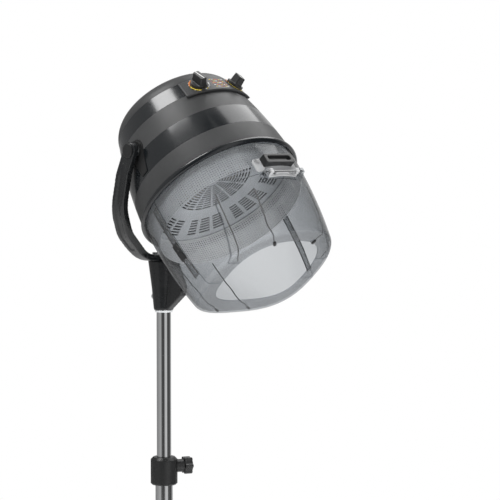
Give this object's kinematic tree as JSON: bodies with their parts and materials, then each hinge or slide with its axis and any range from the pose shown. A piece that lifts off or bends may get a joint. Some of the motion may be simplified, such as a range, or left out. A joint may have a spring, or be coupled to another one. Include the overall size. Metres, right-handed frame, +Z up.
{
  "type": "hood hair dryer",
  "caption": "Salon hood hair dryer: a tilting hood with a smoked visor in a fork, on a telescopic chrome pole with a castered star base.",
  "frame": {"origin": "on the pole's axis at floor level", "axes": "+Z up along the pole, -Y towards the client's side where the hood opens, X along the tilt axis"},
  "size_m": [0.628, 0.7259, 1.4586],
  "materials": {
    "base_plastic": "satin black moulded nylon",
    "caster_plastic": "black moulded nylon",
    "wheel_tread": "black nylon tread",
    "steel_pin": "plain zinc steel",
    "chrome_tube": "bright chrome plate",
    "bush_plastic": "natural acetal",
    "collar_plastic": "satin black moulded nylon",
    "knob_plastic": "satin black",
    "fork_metal": "satin black powder coat",
    "casing_matte": "dark grey fine texture",
    "casing_gloss": "gloss black",
    "bead_gloss": "gloss black",
    "mesh_metal": "perforated sheet",
    "diffuser_plastic": "light grey moulding",
    "motor_steel": "zinc plate",
    "mica": "mica sheet",
    "heater_wire": "resistance wire",
    "switch_plastic": "white phenolic",
    "panel_plastic": "dark grey with a printed scale",
    "lamp_lens": "dark red lens",
    "visor_clear": "smoked transparent polycarbonate",
    "hinge_clear": "clear polycarbonate"
  },
  "bodies": {
    "base": {"star_base": "base_plastic", "hub_cover": "base_plastic", "base_bolt": "steel_pin", "lower_tube": "chrome_tube", "guide_bush": "bush_plastic", "clamp_collar": "collar_plastic"},
    "mast": {"upper_tube": "chrome_tube", "slider_plug": "bush_plastic"},
    "clamp_knob": {"clamp_knob": "knob_plastic"},
    "fork": {"pole_socket": "fork_metal", "swivel_bush": "bush_plastic", "socket_screw": "steel_pin", "yoke": "fork_metal", "yoke_bolts": "steel_pin", "pivot_bolts": "steel_pin", "pivot_caps": "collar_plastic", "friction_washers": "bush_plastic"},
    "hood": {"pivot_pads": "collar_plastic", "lower_casing": "casing_matte", "lower_gloss_band": "casing_gloss", "middle_casing": "casing_matte", "upper_gloss_band": "casing_gloss", "dome_cap": "casing_matte", "rim_bead": "bead_gloss", "mesh_ring": "mesh_metal", "diffuser": "diffuser_plastic", "motor": "motor_steel", "motor_plate": "motor_steel", "heater_frame": "mica", "heater_coil": "heater_wire", "control_panel": "panel_plastic", "timer_body": "switch_plastic", "thermostat_body": "switch_plastic", "pilot_lamp": "lamp_lens", "cable_gland": "collar_plastic", "visor_frame": "visor_clear", "visor_back": "visor_clear", "hinge_plate": "hinge_clear", "hinge_pin": "steel_pin", "hinge_screws": "steel_pin", "visor_grip": "knob_plastic"},
    "visor_door": {"visor_front": "visor_clear"},
    "timer_knob": {"timer_knob": "knob_plastic"},
    "temperature_knob": {"temperature_knob": "knob_plastic"},
    "fan": {"fan": "diffuser_plastic"},
    "caster_1": {"caster_1_fork": "caster_plastic", "caster_1_pins": "steel_pin"},
    "caster_1_wheels": {"caster_1_wheels": "wheel_tread"},
    "caster_2": {"caster_2_fork": "caster_plastic", "caster_2_pins": "steel_pin"},
    "caster_2_wheels": {"caster_2_wheels": "wheel_tread"},
    "caster_3": {"caster_3_fork": "caster_plastic", "caster_3_pins": "steel_pin"},
    "caster_3_wheels": {"caster_3_wheels": "wheel_tread"},
    "caster_4": {"caster_4_fork": "caster_plastic", "caster_4_pins": "steel_pin"},
    "caster_4_wheels": {"caster_4_wheels": "wheel_tread"},
    "caster_5": {"caster_5_fork": "caster_plastic", "caster_5_pins": "steel_pin"},
    "caster_5_wheels": {"caster_5_wheels": "wheel_tread"}
  },
  "joints": [
    {"name": "caster_1_swivel", "type": "hinge", "parent": "base", "child": "caster_1", "pos_m": [-0.20075, -0.23094, 0.07], "axis": [0, 0, 1], "continuous": true},
    {"name": "caster_1_roll", "type": "hinge", "parent": "caster_1", "child": "caster_1_wheels", "pos_m": [-0.18196, -0.2241, 0.025], "axis": [0.342, -0.9397, 0], "continuous": true},
    {"name": "caster_2_swivel", "type": "hinge", "parent": "base", "child": "caster_2", "pos_m": [0.1576, -0.26229, 0.07], "axis": [0, 0, 1], "continuous": true},
    {"name": "caster_2_roll", "type": "hinge", "parent": "caster_2", "child": "caster_2_wheels", "pos_m": [0.14028, -0.25229, 0.025], "axis": [0.5, 0.866, 0], "continuous": true},
    {"name": "caster_3_swivel", "type": "hinge", "parent": "base", "child": "caster_3", "pos_m": [0.29816, 0.06883, 0.07], "axis": [0, 0, 1], "continuous": true},
    {"name": "caster_3_roll", "type": "hinge", "parent": "caster_3", "child": "caster_3_wheels", "pos_m": [0.30333, 0.08815, 0.025], "axis": [0.9659, -0.2588, 0], "continuous": true},
    {"name": "caster_4_swivel", "type": "hinge", "parent": "base", "child": "caster_4", "pos_m": [0.02667, 0.30484, 0.07], "axis": [0, 0, 1], "continuous": true},
    {"name": "caster_4_roll", "type": "hinge", "parent": "caster_4", "child": "caster_4_wheels", "pos_m": [0.01381, 0.28952, 0.025], "axis": [-0.766, 0.6428, 0], "continuous": true},
    {"name": "caster_5_swivel", "type": "hinge", "parent": "base", "child": "caster_5", "pos_m": [-0.28167, 0.11956, 0.07], "axis": [0, 0, 1], "continuous": true},
    {"name": "caster_5_roll", "type": "hinge", "parent": "caster_5", "child": "caster_5_wheels", "pos_m": [-0.26882, 0.10424, 0.025], "axis": [-0.766, -0.6428, 0], "continuous": true},
    {"name": "height_slide", "type": "slide", "parent": "base", "child": "mast", "axis": [0, 0, 1], "range_m": [-0.13, 0.25]},
    {"name": "clamp_turn", "type": "hinge", "parent": "base", "child": "clamp_knob", "pos_m": [0.03709, -0.01498, 0.67], "axis": [0.9272, -0.3746, 0], "range_deg": [0, 360]},
    {"name": "head_swivel", "type": "hinge", "parent": "mast", "child": "fork", "pos_m": [0, 0, 1.03], "axis": [0, 0, 1], "range_deg": [-170, 170]},
    {"name": "hood_tilt", "type": "hinge", "parent": "fork", "child": "hood", "pos_m": [0, -0.096, 1.306], "axis": [1, 0, 0], "range_deg": [-45, 6]},
    {"name": "visor_lift", "type": "hinge", "parent": "hood", "child": "visor_door", "pos_m": [0, -0.3503, 1.26802], "axis": [-1, 0, 0], "range_deg": [0, 75]},
    {"name": "timer_knob_turn", "type": "hinge", "parent": "hood", "child": "timer_knob", "pos_m": [-0.04546, -0.16119, 1.43223], "axis": [0.3096, 0.4759, -0.8232], "range_deg": [0, 300]},
    {"name": "temperature_knob_turn", "type": "hinge", "parent": "hood", "child": "temperature_knob", "pos_m": [0.04546, -0.16119, 1.43223], "axis": [-0.3096, 0.4759, -0.8232], "range_deg": [0, 270]},
    {"name": "fan_spin", "type": "hinge", "parent": "hood", "child": "fan", "pos_m": [0, -0.05893, 1.34864], "axis": [0, 0.6561, 0.7547], "continuous": true}
  ]
}
